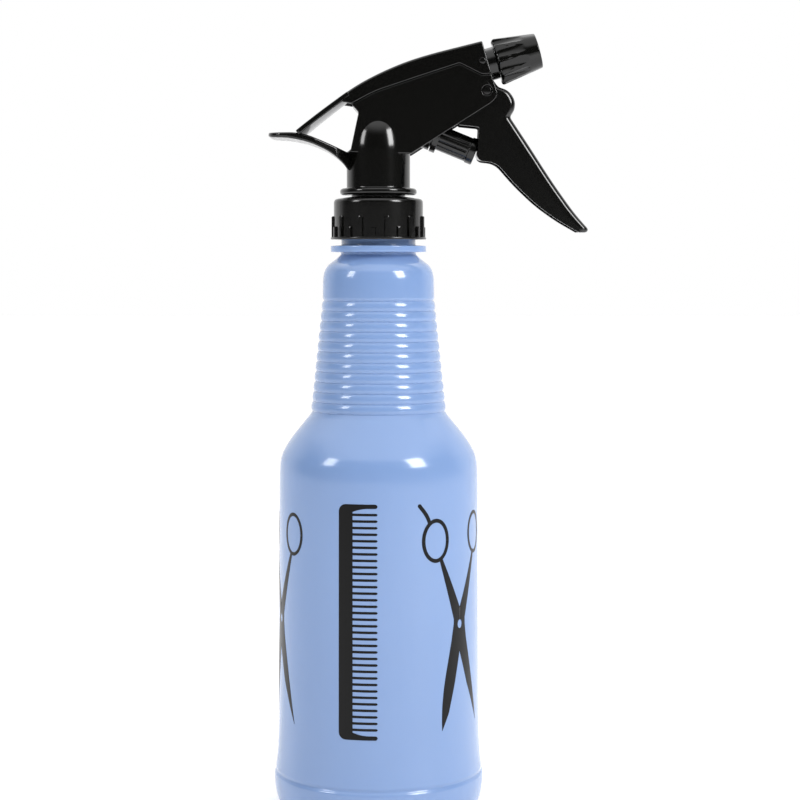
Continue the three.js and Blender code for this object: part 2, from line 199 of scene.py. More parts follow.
def folded_ends(grid):
    """Faces over the two ends of a skin whose loops run out and come back: i, i + 1 and the two across."""
    rows, around = grid.shape[:2]
    i = np.arange(around // 2 - 1)
    end = np.stack([i, i + 1, around - 2 - i, around - 1 - i], -1)
    return [*end.tolist(), *(end + (rows - 1) * around).tolist()]


def turned(profile, sides, swell=None):
    """A profile (r, z) carried round Z: (r cos a, r sin a, z), where swell(r, z, a) may change r."""
    profile = np.asarray(profile, float)
    angle = np.linspace(0, 2 * np.pi, sides, endpoint=False) if np.isscalar(sides) else sides
    r, z = profile[:, :1] + 0 * angle, profile[:, 1:] + 0 * angle
    if swell:
        r = swell(r, z, angle + 0 * r)
    return skin(np.stack([r * np.cos(angle), r * np.sin(angle), z], -1))


def round_trip(corners):
    """A closed profile: softened corners, with the first point again at the end."""
    line = softened(corners, closed=True)
    return np.vstack([line, line[:1]])


def washer(inner, outer, z0, z1, edge=0.2):
    """The closed profile of a ring with rounded edges: from inner to outer radius and from z0 to z1."""
    return round_trip([(outer, z0, edge), (outer, z1, edge), (inner, z1, edge), (inner, z0, edge)])


def slab(outline, y0, y1, edge, holes=()):
    """An XZ outline with holes, given thickness across Y, its edges rounded by a quarter circle.

    At angle a of the quarter circle the loops are drawn in by edge (1 - cos a), and lie edge (1 - sin a)
    from the face.
    """
    loops = [turning(np.asarray(outline, float), True)]
    loops += [turning(np.asarray(hole, float), False) for hole in holes]
    angle = np.linspace(0, np.pi / 2, 4)
    inset, from_face = edge * (1 - np.cos(angle)), edge * (1 - np.sin(angle))
    depth = np.r_[y0 + from_face[::-1], y1 - from_face]
    shells = []
    for loop in loops:
        rings = np.stack([drawn_in(loop, i) for i in np.r_[inset[::-1], inset]])
        across = np.broadcast_to(depth[:, None], rings.shape[:2])
        shells.append(skin(np.stack([rings[..., 0], across, rings[..., 1]], -1)))
    rims = [drawn_in(loop, edge) for loop in loops]
    flat = np.vstack(rims)
    triangles = tessellate_polygon([[(x, z, 0) for x, z in rim] for rim in rims])
    for y in (y0, y1):
        face = np.stack([flat[:, 0], np.full(len(flat), y), flat[:, 1]], -1)
        shells.append((face, [list(t) for t in triangles]))
    return joined(shells)


def trough(crown, rim, half_width, corner, wall, bulge):
    """A moulded channel with a wall: sides that stand on the rim line and a back along the crown line.

    At each station the section is measured along the line from rim to crown, length L, and across it, y.
    Outside, it climbs at y = -w to L - r, turns on a quarter circle of radius r and crosses at
    L + bulge (1 - (y / (w - r))^2). Inside, the same path is taken with w, L and r less by the wall.
    """
    crown, rim = np.asarray(crown, float), np.asarray(rim, float)
    rise = crown - rim
    height = np.linalg.norm(rise, axis=1)[:, None]
    up = rise / height

    def path(w, tall, r, arch):
        """Up one side, over the arch and down the other, as y and as height above the rim."""
        r = np.clip(r, 0.15, 0.45 * np.minimum(tall, w))
        a = np.linspace(0, np.pi / 2, 7)
        climb = np.linspace(0, 1, 5)[:-1] * (tall - r)
        over = np.linspace(-1, 1, 9)[1:-1]
        y = np.hstack([-w + 0 * climb, -(w - r + r * np.cos(a)), over * (w - r)])
        z = np.hstack([climb, tall - r + r * np.sin(a), tall + arch * (1 - over**2) + 0 * r])
        mirror = slice(climb.shape[1] + len(a) - 1, None, -1)
        return np.hstack([y, -y[:, mirror]]), np.hstack([z, z[:, mirror]])

    w = np.broadcast_to(np.asarray(half_width, float).reshape(-1, 1), height.shape)
    outer = path(w, height, corner, bulge)
    inner = path(w - wall, np.maximum(height - wall, 0.3 * height), np.maximum(corner - wall, 0.2), bulge)
    y = np.hstack([outer[0], inner[0][:, ::-1]])
    z = np.hstack([outer[1], inner[1][:, ::-1]])
    grid = np.stack([rim[:, :1] + up[:, :1] * z, y, rim[:, 1:] + up[:, 1:] * z], -1)
    points, faces = skin(grid)
    return points, faces + folded_ends(grid)


def strap(top, bottom, half_width, edge, belly=0.0):
    """A bar between a top and a bottom line: at each station a rectangle with its corners on quarter circles.

    Its underside hangs lower towards the middle, by belly (1 - (y / w)^2).
    """
    top, bottom = np.asarray(top, float), np.asarray(bottom, float)
    middle, half = (top + bottom) / 2, (top - bottom) / 2
    tall = np.linalg.norm(half, axis=1)[:, None]
    up = half / tall
    w = np.asarray(half_width, float)[:, None]
    e = np.minimum(edge, 0.95 * tall)
    arc, across = np.linspace(0, np.pi / 2, 6), np.linspace(-1, 1, 11)[1:-1]
    a = np.r_[arc, arc + np.pi / 2, arc + np.pi, np.full(9, 1.5 * np.pi), arc + 1.5 * np.pi]
    side = np.r_[np.full(6, 1), np.full(12, -1), across, np.full(6, 1)]
    lift = np.r_[np.full(12, 1), np.full(21, -1)]
    y = side * (w - e) + e * np.cos(a)
    z = lift * (tall - e) + e * np.sin(a)
    z = z - belly * (z < 0) * (1 - (y / w) ** 2)
    return lofted(np.stack([middle[:, :1] + up[:, :1] * z, y, middle[:, 1:] + up[:, 1:] * z], -1))


def coil(wire, radius, z0, z1, turns):
    """A round wire on a helix about Z: centre (R cos a, R sin a, z), its ring drawn on the radius and Z.

    The first and last turns lie flat, so z follows a smooth step of the angle there.
    """
    t = np.linspace(0, 1, int(turns * 28))[:, None]
    lie = 0.9 / turns
    climb = np.clip((t - lie * 0.8) / (1 - 1.6 * lie), 0, 1)
    z = z0 + wire * 2.1 * np.clip(t / lie, 0, 1) + (z1 - z0 - 4.2 * wire) * climb
    z = z + wire * 2.1 * np.clip((t - 1 + lie) / lie, 0, 1)
    a, ring = 2 * np.pi * turns * t, np.linspace(0, 2 * np.pi, 10, endpoint=False)
    r = radius + wire * np.cos(ring)
    return lofted(np.stack([r * np.cos(a), r * np.sin(a), z + wire * np.sin(ring)], -1))


def rod_across(centre, radius, y0, y1, edge=0.15):
    """A round rod across Y with rounded ends: a circle (x, z) carried from y0 to y1."""
    return slab(circle(centre, radius), y0, y1, edge)


def axis_of(turn):
    """The direction of Z once turned about Y: (sin, 0, cos)."""
    return math.sin(math.radians(turn)), 0, math.cos(math.radians(turn))


def tilted(shell, turn, at):
    """A shell made along Z, turned about Y: x' = x cos + z sin, z' = z cos - x sin, then moved to (x, z)."""
    points, faces = shell
    s, _, c = axis_of(turn)
    x, y, z = points.T
    return np.stack([x * c + z * s + at[0], y, z * c - x * s + at[1]], -1), faces


def joined(shells):
    """Several shells as one list of points and one of faces."""
    starts = np.cumsum([0] + [len(points) for points, _ in shells])
    faces = [[i + start for i in face] for (_, own), start in zip(shells, starts) for face in own]
    return np.vstack([points for points, _ in shells]), faces


def piece(name, shells, material, body, nodes):
    """An object of closed shells, in metres, that rides on a body and stands for CAD nodes."""
    points, faces = joined(shells)
    mesh = bpy.data.meshes.new(name)
    mesh.from_pydata((points * MM).tolist(), [], faces)
    work = bmesh.new()
    work.from_mesh(mesh)
    bmesh.ops.remove_doubles(work, verts=work.verts, dist=2e-7)
    bmesh.ops.dissolve_degenerate(work, edges=work.edges, dist=1e-7)
    bmesh.ops.recalc_face_normals(work, faces=work.faces)
    work.to_mesh(mesh)
    work.free()
    mesh.shade_smooth()
    mesh.set_sharp_from_angle(angle=math.radians(SHARP_ANGLE))
    mesh.materials.append(material)
    made = bpy.data.objects.new(name, mesh)
    bpy.context.scene.collection.objects.link(made)
    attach(made, body)
    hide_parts(*nodes)
    return made


def evened(made):
    """Shades a piece by its large faces, so that flats stay flat beside their rounded edges."""
    shading = made.modifiers.new("even shading", "WEIGHTED_NORMAL")
    shading.mode, shading.keep_sharp = "FACE_AREA", True
    return made


def bevelled(made, width):
    """Rounds the edges of a piece that turn by more than 45 degrees."""
    bevel = made.modifiers.new("moulded edges", "BEVEL")
    bevel.width, bevel.segments = width, 3
    bevel.limit_method, bevel.angle_limit = "ANGLE", math.radians(45)
    bevel.use_clamp_overlap = False
    return evened(made)


# ---------------------------------------------------------------- finishes
class Signal:
    """A shader value whose sums, differences and products become Math nodes."""

    def __init__(self, recipe, socket):
        self.recipe, self.socket = recipe, socket

    def _math(self, operation, first, second):
        """One Math node on two values."""
        return self.recipe.node("ShaderNodeMath", {"operation": operation}, {0: first, 1: second})

    def __add__(self, other):
        return self._math("ADD", self, other)

    def __sub__(self, other):
        return self._math("SUBTRACT", self, other)

    def __rsub__(self, other):
        return self._math("SUBTRACT", other, self)

    def __mul__(self, other):
        return self._math("MULTIPLY", self, other)

    __radd__, __rmul__ = __add__, __mul__


class Recipe:
    """The nodes of a material or of the world, under construction."""

    def __init__(self, owner, coordinates="Object"):
        owner.use_nodes = True
        self.owner, self.tree = owner, owner.node_tree
        self.tree.nodes.clear()
        self.place = self.node("ShaderNodeTexCoord", {}, {}, coordinates)

    def node(self, kind, settings, inputs, output=0):
        """A node of one type: its settings first, then a value or a link for each of its named sockets."""
        made = self.tree.nodes.new(kind)
        for key, value in settings.items():
            setattr(made, key, value)
        for key, value in inputs.items():
            if isinstance(value, Signal):
                self.tree.links.new(value.socket, made.inputs[key])
            else:
                made.inputs[key].default_value = value
        return Signal(self, made.outputs[output]) if made.outputs else made

    def noise(self, scale, detail=2.0, roughness=0.5):
        """Cloudy noise on the object, `scale` lumps to the metre."""
        values = {"Vector": self.place, "Scale": scale, "Detail": detail, "Roughness": roughness}
        return self.node("ShaderNodeTexNoise", {}, values, "Fac")

    def mix(self, factor, first, second):
        """One colour where the factor is 0 and the other where it is 1."""
        inputs = {0: factor, 6: (*first, 1), 7: (*second, 1)}
        return self.node("ShaderNodeMix", {"data_type": "RGBA"}, inputs, 2)

    def bump(self, height, distance):
        """A normal from a height of 0 to 1, `distance` metres deep."""
        inputs = {"Height": height, "Distance": distance, "Strength": 1.0}
        return self.node("ShaderNodeBump", {}, inputs, "Normal")

    def smooth(self, value, low, high):
        """0 below low, 1 above high, and a smooth step between them."""
        inputs = {"Value": value, "From Min": low, "From Max": high}
        return self.node("ShaderNodeMapRange", {"interpolation_type": "SMOOTHSTEP"}, inputs)

    def surface(self, inputs):
        """Closes a material with the principled surface."""
        shader = self.node("ShaderNodeBsdfPrincipled", {}, inputs)
        self.node("ShaderNodeOutputMaterial", {}, {"Surface": shader})
        return self.owner


def shaded(tone, factor):
    """A colour made lighter or darker: each part times the factor, and no more than 1."""
    return tuple(min(1.0, c * factor) for c in tone)


def moulded(name, tone, roughness, grain, grain_depth, cloud=0.05, specular=0.5):
    """Injection-moulded plastic: faint clouding, uneven gloss and a fine skin of the mould."""
    made = Recipe(bpy.data.materials.new(name))
    clouds = made.noise(60, 3)
    skin_noise = made.noise(grain, 2)
    rubbed = made.noise(900, 4, 0.7)
    return made.surface(
        {
            "Base Color": made.mix(clouds, shaded(tone, 1 - cloud), shaded(tone, 1 + cloud)),
            "Roughness": roughness + (rubbed - 0.5) * (0.25 * roughness),
            "Specular IOR Level": specular,
            "Normal": made.bump(skin_noise, grain_depth),
        }
    )


def blown(name, tone):
    """Blow-moulded bottle plastic: long soft ripples up the wall and a fine orange skin under the gloss."""
    made = Recipe(bpy.data.materials.new(name))
    drawn_out = {"Vector": made.place, "Scale": (1.0, 1.0, 0.25)}
    stretched = made.node("ShaderNodeMapping", {}, drawn_out, "Vector")
    ripple = made.node("ShaderNodeTexNoise", {}, {"Vector": stretched, "Scale": 45.0, "Detail": 1.0}, "Fac")
    fine = made.noise(1400, 2)
    clouds = made.noise(22, 3)
    return made.surface(
        {
            "Base Color": made.mix(clouds, shaded(tone, 0.96), shaded(tone, 1.04)),
            "Roughness": 0.17 + (made.noise(350, 3) - 0.5) * 0.05,
            "Normal": made.bump(ripple * 0.9 + fine * 0.012, 0.00022),
            "Coat Weight": 0.25,
            "Coat Roughness": 0.06,
            "Subsurface Weight": 0.12,
            "Subsurface Radius": (0.6, 0.8, 1.0),
            "Subsurface Scale": 0.0012,
        }
    )


def steel(name, tone):
    """Drawn spring steel: fine scratches and a little tarnish."""
    made = Recipe(bpy.data.materials.new(name))
    tarnish = made.noise(700, 3)
    return made.surface(
        {
            "Base Color": made.mix(tarnish, shaded(tone, 0.75), tone),
            "Metallic": 1.0,
            "Roughness": 0.2 + made.noise(5000, 2) * 0.16,
            "Normal": made.bump(made.noise(9000, 2), 0.00001),
        }
    )


def tube_plastic(name, tone):
    """Clear tube plastic, milky where it was cut."""
    made = Recipe(bpy.data.materials.new(name))
    milk = made.noise(250, 3)
    return made.surface(
        {
            "Base Color": made.mix(milk, tone, shaded(tone, 1.1)),
            "Roughness": 0.14 + milk * 0.12,
            "Transmission Weight": 0.75,
            "IOR": 1.49,
            "Normal": made.bump(made.noise(800, 1), 0.00003),
        }
    )


FINISHES = {
    "blue bottle plastic": lambda name, c: blown(name, c.bottle),
    "black head plastic": lambda name, c: moulded(name, c.head, 0.14, 500, 0.000003),
    "black collar plastic": lambda name, c: moulded(name, c.head, 0.18, 1300, 0.000003),
    "black cover plastic": lambda name, c: moulded(name, c.head, 0.12, 500, 0.000002),
    "black trigger plastic": lambda name, c: moulded(name, c.head, 0.16, 400, 0.000002),
    "black nozzle plastic": lambda name, c: moulded(name, c.head, 0.11, 500, 0.000002, specular=0.38),
    "black piston plastic": lambda name, c: moulded(name, shaded(c.head, 1.2), 0.18, 1400, 0.0000025),
    "black ink": lambda name, c: moulded(name, c.ink, 0.3, 5000, 0.000002, 0.12, 0.22),
    "seal rubber": lambda name, c: moulded(name, c.rubber, 0.7, 3500, 0.00005, 0.1, 0.35),
    "natural plastic": lambda name, c: moulded(name, c.natural, 0.38, 2000, 0.00003, 0.04),
    "spring steel": lambda name, c: steel(name, c.steel),
    "clear tube plastic": lambda name, c: tube_plastic(name, shaded(c.natural, 1.1)),
    "pale floor": lambda name, c: moulded(name, c.floor, 0.6, 300, 0.00002, 0.005, 0.3),
}


def finish(name):
    """The material of that name, made when it is first asked for."""
    found = bpy.data.materials.get(name)
    return found or FINISHES[name](name, bpy.context.scene.spray_bottle_colours)


# ---------------------------------------------------------------- bottle
def bottle_profile(sizes):
    """The bottle's outside from its foot to its rim.

    Up the ribbed cone, r = cone(z) - depth (1 - |sin(pi (z - z0) / pitch)|^0.6), with z0 the first groove.
    """
    foot = [(0, 1.5), (21, 1.5, 3), (25.5, 0, 1.5), (29.5, 0, 2.5), (33, 1, 2), (35, 3, 2), (36.35, 7, 2.5)]
    foot += [(36.9, 12, 2), (36.75, 14.35, 0.5), (36, 15.3, 0.5), (36.35, 16.3, 0.5), (35.75, 21.7, 3)]
    body = [(35.3, 31.7, 5), (34.72, 121, 3), (34.1, 126, 2.6), (32.2, 129.6, 2.2), (29.9, 133, 2.2)]
    body += [(24, 140.2, 0.5)]
    pitch, first, steps = 3.5, 141.6, 14
    z = np.arange(sizes.rib_count * steps + 1) * pitch / steps + first
    wave = 1 - np.abs(np.sin(np.pi * (z - first) / pitch)) ** 0.6
    cone = 23.7 - (z - first) * 0.107
    ribs = np.stack([cone - sizes.rib_depth / MM * wave, z], -1)
    dome = [(19.45, 180.8, 0.6), (19.3, 188.9, 2.5), (18, 192, 1.6), (15.2, 194.1, 1.3), (13.1, 195.9, 0.6)]
    bead = [(13.1, 196.7, 0.3), (16.6, 196.9, 0.3), (16.6, 199, 0.3), (12.9, 199.3, 0.3)]
    rim = [(12.9, 210.5, 0.4), (10.9, 210.5)]
    low, high = softened(foot + body + [tuple(ribs[0])]), softened([tuple(ribs[-1])] + dome + bead + rim)
    return np.vstack([low[:-1], ribs, high[1:]])


class SPRAYBOTTLE_OT_bottle(bpy.types.Operator):
    """Blow-moulded bottle with its ribbed cone, bead, neck and screw thread"""

    bl_idname = "spray_bottle.bottle"
    bl_label = "Bottle"

    def execute(self, context):
        outside = bottle_profile(context.scene.spray_bottle_sizes)
        inside = [(10.9, 194, 1), (16.2, 191, 1), (18, 187.5, 1), (18.1, 180, 1), (22.2, 143.5, 1)]
        inside += [(22.9, 139.8, 1), (30.9, 129.5, 2), (33.3, 120.5, 2), (34, 31.7, 3), (35.5, 12, 2)]
        inside += [(34.2, 4, 2), (32, 2, 1), (27, 1.4, 1), (21, 2.9, 2), (0, 2.9)]
        shell = turned(np.vstack([outside, softened(inside)]), 224)
        blue = finish("blue bottle plastic")
        piece("bottle_shell", [shell], blue, "bottle", ["bottle"])
        # Thread: a ridge that climbs 5.3 in 1.25 turns and fades out at both ends.
        turns = 1.25
        t = np.linspace(0, 1, 64)[:, None]
        ring = np.linspace(0, 2 * np.pi, 12, endpoint=False)
        fade = np.clip(np.minimum(t, 1 - t) * 12, 0.05, 1)
        a = 2 * np.pi * turns * t
        r = 12.75 + 0.95 * fade * (0.5 + 0.5 * np.cos(ring))
        z = 203.4 + 5.3 * t + 0.75 * fade * np.sin(ring)
        thread = lofted(np.stack([r * np.cos(a), r * np.sin(a), z + 0 * r], -1))
        piece("bottle_thread", [thread], blue, "bottle", ["bottle"])
        return {"FINISHED"}


# ---------------------------------------------------------------- print
def band(left, right, across, along=40):
    """A flat strip between two lines (u, z): (1 - v) left + v right."""
    left, right = evenly(left, along), evenly(right, along)
    v = np.linspace(0, 1, across)[None, :, None]
    return (1 - v) * left[:, None] + v * right[:, None]


def oval_ring(centre, half, line):
    """A flat ring (u, z), `line` wide: centre + (across cos a, tall sin a), from the outer oval inwards."""
    a = np.linspace(0, 2 * np.pi, 57)[:, None]
    v = np.linspace(0, 1, 4)[None, :]
    across, tall = half[0] - line * v, half[1] - line * v
    return np.stack([centre[0] + across * np.cos(a), centre[1] + tall * np.sin(a)], -1)


def comb(teeth):
    """Flat grids (u, z) of a comb: a spine with round outer corners, fine teeth and two stout end teeth.

    Towards a tip a tooth narrows as a circle does: half its breadth times sqrt(1 - s^2).
    """
    width, height, spine, tooth, r = 13.4, 79.8, 4.9, 0.85, 2.4
    a = np.linspace(0, np.pi / 2, 9)
    lower = np.stack([r - r * np.sin(a), r - r * np.cos(a)], -1)
    back = np.vstack([lower, lower[::-1] * [1, -1] + [0, height]])
    grids = [band(back, [(spine, 0), (spine, height)], 9, 110)]
    x = np.linspace(spine - 0.2, width, 30)
    round_end = np.sqrt(np.clip(1 - np.clip((x - width + tooth / 2) / (tooth / 2), 0, 1) ** 2, 0.02, 1))
    for z in np.linspace(1.3, height - 1.3, teeth + 2)[1:-1]:
        half = tooth / 2 * round_end
        grids.append(band(np.stack([x, z - half], -1), np.stack([x, z + half], -1), 3, 30))
    tip = np.sqrt(np.clip(1 - np.clip((x - width + 0.8) / 0.8, 0, 1) ** 2, 0.01, 1))
    depth = 1.45 + 1.1 * np.clip(1 - (x - spine) / 5.5, 0, 1) ** 2
    for base, way in ((0, 1), (height, -1)):
        outer = np.stack([x, base + way * 0.75 * (1 - tip)], -1)
        inner = np.stack([x, base + way * (0.75 + (depth - 0.75) * tip)], -1)
        grids.append(band(outer, inner, 4, 34))
    return grids


def scissors():
    """Flat grids (u, z) round the pivot: finger rings, finger rest, arms, hub with its screw hole, blades."""
    hub = [(0, 5.85), (-3.2, 2.0), (-3.2, 0.6), (-4.35, -5.1), (-0.15, -9.3), (3.9, -5.1), (3.1, -0.3)]
    hub += [(3.1, 2.0)]
    rim = evenly([*hub, hub[0]], 57)
    a = np.arctan2(rim[:, 1], rim[:, 0])
    hole = np.stack([1.15 * np.cos(a), 1.5 * np.sin(a)], -1)
    v = np.linspace(0, 1, 8)[None, :, None]
    grids = [(1 - v) * hole[:, None] + v * rim[:, None]]
    grids += [oval_ring((-11.2, 29.6), (5.6, 7.5), 1.35), oval_ring((10.7, 30.6), (5.4, 7.4), 1.2)]
    grids.append(band([(-3.2, 2.0), (-9.9, 23.2)], [(0, 5.85), (-8.5, 23.3)], 5, 30))
    grids.append(band([(0, 5.85), (8.9, 24.2)], [(3.1, 2.0), (10.1, 24.2)], 5, 30))
    left = [(-4.35, -5.1), (-7.6, -18.7), (-8.5, -24.5), (-8.95, -30), (-8.85, -35.7)]
    left_edge = [(-0.15, -9.3), (-2.72, -19.8), (-5.8, -30), (-8.75, -35.7)]
    grids.append(band(softened([(*p, 3) for p in left]), left_edge, 5))
    right, right_edge = [(-0.15, -9.3), (4.3, -21), (11.55, -35)], [(3.9, -5.1), (8.7, -23.1), (11.65, -35)]
    grids.append(band(right, right_edge, 5))
    rest = softened([(-13.6, 35.2), (-14.7, 38.2, 3), (-17.6, 41.7)])
    side = np.array([0.62, 0.32])
    grids.append(band(rest - side, rest + side, 3, 16))
    cap = circle(rest[-1], 0.7, 17)
    grids.append(band(cap[:9], np.vstack([cap[9:], cap[:1]])[::-1][:9], 4, 9))
    return grids


class SPRAYBOTTLE_OT_print(bpy.types.Operator):
    """Black screen print round the bottle: combs and scissors by turns"""

    bl_idname = "spray_bottle.print"
    bl_label = "Print"

    def wrapped(self, grids, azimuth, height, sizes):
        """Flat grids laid on the bottle: (u, z) goes to r(z) (sin a, -cos a), a = azimuth + u / radius."""
        outside = bottle_profile(sizes)
        wall = outside[(outside[:, 1] > 20) & (outside[:, 1] < 125)]
        ink = sizes.ink_thickness / MM
        shells = []
        for grid in grids:
            a = math.radians(azimuth) + grid[..., 0] / BODY_RADIUS
            z = grid[..., 1] + height
            r = np.interp(z, wall[:, 1], wall[:, 0])
            sheets = [np.stack([(r + d) * np.sin(a), -(r + d) * np.cos(a), z], -1) for d in (-0.02, ink)]
            around = np.concatenate([sheets[0], sheets[1][:, ::-1]], 1)
            points, faces = skin(around)
            shells.append((points, faces + folded_ends(around)))
        return shells

    def execute(self, context):
        sizes = context.scene.spray_bottle_sizes
        ink = finish("black ink")
        for number, azimuth in enumerate((-21.9, 99.65, 216.85)):
            shells = self.wrapped(comb(sizes.tooth_count), azimuth, 32.9, sizes)
            piece(f"print_comb_{number + 1}", shells, ink, "bottle", ["bottle"])
        for number, azimuth in enumerate((52.7, -73.6, 169.2)):
            shells = self.wrapped(scissors(), azimuth, 70.1, sizes)
            piece(f"print_scissors_{number + 1}", shells, ink, "bottle", ["bottle"])
        return {"FINISHED"}


# ---------------------------------------------------------------- collar
class SPRAYBOTTLE_OT_collar(bpy.types.Operator):
    """Screw collar with tall and short grip ribs, and the gasket under it"""

    bl_idname = "spray_bottle.collar"
    bl_label = "Collar"

    def execute(self, context):
        sizes = context.scene.spray_bottle_sizes
        count, proud = sizes.grip_count, sizes.grip_height / MM
        width, foot, pitch = 1.36, 202.0, 2 * math.pi / count
        offset = np.array([-0.78, -0.68, -0.6, -0.5, 0.5, 0.6, 0.68, 0.78]) / GRIP_RADIUS
        gap = np.linspace(0.25, 0.75, 4) * pitch
        first = math.radians(-95.4)
        angle = (first + np.arange(count)[:, None] * pitch + np.r_[offset, gap]).ravel()

        def ribbed(r, z, a):
            """Adds the ribs: full height inside their width, falling to nothing over a rounded shoulder."""
            step = (a - first) / pitch
            index = np.round(step)
            across = np.abs(step - index) * pitch * GRIP_RADIUS
            side = np.clip((width / 2 + 0.1 - across) / 0.25, 0, 1)
            top = np.where(index % 2 == 0, 205.7, 209.3)
            end = np.clip((top - z) / 0.35, 0, 1) * np.clip((z - foot + 0.6) / 0.3, 0, 1)
            outside = (r > 15.3) & (r < 15.6)
            return r + outside * proud * np.sqrt(side * (2 - side)) * np.sqrt(end * (2 - end))

        rows = [205.0, 205.3, 205.5, 205.62, 205.72, 206.5, 208.6, 208.9, 209.1, 209.22, 209.32, 210, 212]
        side = [(15.5, z) for z in (202.35, 203, 204, *rows)]
        profile = [(14, 201.2, 0.2), (16.6, 201.2, 0.3), (16.6, 202, 0.3), (15.5, 202.1), *side]
        profile += [(15.5, 214.4, 0.7), (14.9, 215.2, 0.7), (9.6, 216, 0.2), (9.6, 213.9, 0.2)]
        profile += [(14, 213.9, 0.2)]
        shell = turned(round_trip(profile), angle, ribbed)
        black = finish("black collar plastic")
        made = piece("screw_collar", [shell], black, "collar", ["closure_collar"])
        evened(made)
        gasket = turned(washer(5, 13, 210.7, 212.2, 0.3), 64)
        piece("gasket", [gasket], finish("seal rubber"), "head", ["neck_gasket"])
        return {"FINISHED"}


# ---------------------------------------------------------------- head frame
# The seam (x, z, reach) between the side plates and the cover, from the nose to the rear.
STEP = [(38.8, 257.5), (35.5, 257.3, 0.6), (27.9, 261.1, 0.7), (14.3, 256.7, 5), (-1, 251.6, 3), (-9, 247.4)]


class SPRAYBOTTLE_OT_frame(bpy.types.Operator):
    """Stem with its dome, side plates, rear rest, pump cylinder and barrel of the head"""

    bl_idname = "spray_bottle.frame"
    bl_label = "Head frame"

    def stem(self):
        """Disc, stem and dome as a turned shape.

        Behind, x is held in front of a leaning plane, which cuts it flat. In front, the points within the
        pump cylinder slide back along its axis to behind its floor.
        """
        a = np.radians(np.linspace(0, 90, 19))
        dome = np.stack([11 * np.cos(a), 231.4 + 16.4 * np.sin(a)], -1)
        low = [(0, 222.7), (2.4, 222.7, 0.1), (2.4, 222), (7, 222, 0.3), (7, 213.8, 0.2), (9.3, 213.8, 0.2)]
        low += [(9.3, 216.5, 0.2), (12.7, 216.5, 0.5)]
        disc = [(13.3, 217.1, 0.4), (13.3, 218.3, 0.4), (12.6, 218.9, 0.6), (11, 218.9, 0.5), (11, 231.4)]
        points, faces = turned(np.vstack([softened(low + disc)[:-1], dome]), 128)
        x, y, z = points.T
        plane = -9.2 + (z - 231.6) * (2.9 / 13.4)
        points = np.stack([np.where(z > 231.6, np.maximum(x, plane), x), y, z], -1)
        axis = np.array(axis_of(PUMP_TURN))
        from_mouth = points - [PUMP_AT[0], 0, PUMP_AT[1]]
        along = from_mouth @ axis
        off = np.linalg.norm(from_mouth - along[:, None] * axis, axis=1)
        back = np.where((off < 5.3) & (z > 222.8), np.maximum(CYLINDER_FLOOR + 2.3 - along, 0), 0)
        return points + back[:, None] * axis, faces

    def plates(self, edge):
        """Two side plates with the pivot holes, and the wall that joins them behind."""
        seam = [(x, z - 0.15, *reach) for x, z, *reach in STEP]
        lower = [(-9.6, 231, 0.4), (11.2, 230.4, 0.6), (38.6, 247.7, 1), (40.2, 249.2, 1), (40.9, 250.8, 0.6)]
        outline = softened([(-6.7, 244.6, 0.6), *lower, *seam], closed=True)
        hole = [circle(PIVOT, 1.75)]
        sides = [slab(outline, y, y + 1.4, edge, hole) for y in (-8.6, 7.2)]
        wall = [(-9.6, 231, 0.4), (-8.1, 231, 0.3), (-5.0, 246, 1), (-5.6, 248.9, 0.3), (-9, 247.1, 0.4)]
        wall += [(-6.7, 244.6, 0.6)]
        return [*sides, slab(softened(wall, closed=True), -8.4, 8.4, edge)]

    def rest(self):
        """The rear rest: a bar that leaves the stem and thins to a tail, its half width read off by x."""
        top = [(-5, 232.6), (-10.2, 230.9, 1), (-18.1, 234.5, 3), (-24.2, 236.9, 2), (-28.3, 237.7, 2)]
        top += [(-37.6, 237.7)]
        under = [(-5, 224.8), (-10.4, 224.8, 1), (-11.9, 227.2, 2), (-16.4, 231.1, 3), (-23.2, 234.2, 3)]
        under = softened([*under, (-30, 235.75, 3), (-36.7, 236.05, 1), (-37.7, 236.6)])
        x = np.array([-37.8, -37.4, -36.7, -35.5, -33.5, -31, -22, -14, -10.5, -8])
        half = np.array([5.4, 6.6, 7.9, 9.3, 10.5, 11, 11, 8.8, 5.8, 4.2])
        top, bottom = evenly(softened(top), 60), evenly(under, 60)
        return strap(top, bottom, np.interp((top[:, 0] + bottom[:, 0]) / 2, x, half), 0.7)

    def execute(self, context):
        edge = context.scene.spray_bottle_sizes.edge / MM
        black = finish("black head plastic")
        made = {
            "head_stem": [self.stem()],
            "side_plates": self.plates(edge),
            "rear_rest": [self.rest()],
            "pump_cylinder": [tilted(turned(washer(4.65, 5.5, CYLINDER_MOUTH, 31), 56), PUMP_TURN, PUMP_AT)],
        }
        bore = [(3.2, -42, 0.2), (3.2, -3.6), (5.6, -3.6, 0.2), (5.6, 0, 0.3), (3.3, 0, 0.1), (3.3, 8, 0.3)]
        bore += [(2.3, 8, 0.2), (2.3, -14, 0.1), (1.45, -14.4, 0.1), (1.45, -42, 0.1)]
        barrel = tilted(turned(round_trip(bore), 64), BARREL_TURN, BARREL_AT)
        front = [(36.1, 256.3, 0.3), (39.1, 256.3, 0.3), (36.4, 266.3, 0.3), (33.4, 265.5, 0.3)]
        snap_pegs = rod_across((35.7, 262.1), 1.1, -8.85, 8.85, 0.25)
        made["barrel"] = [barrel, slab(softened(front, closed=True), -7, 7, 0.2), snap_pegs]
        for name, shells in made.items():
            evened(piece(name, shells, black, "head", ["pump_frame"]))
        return {"FINISHED"}


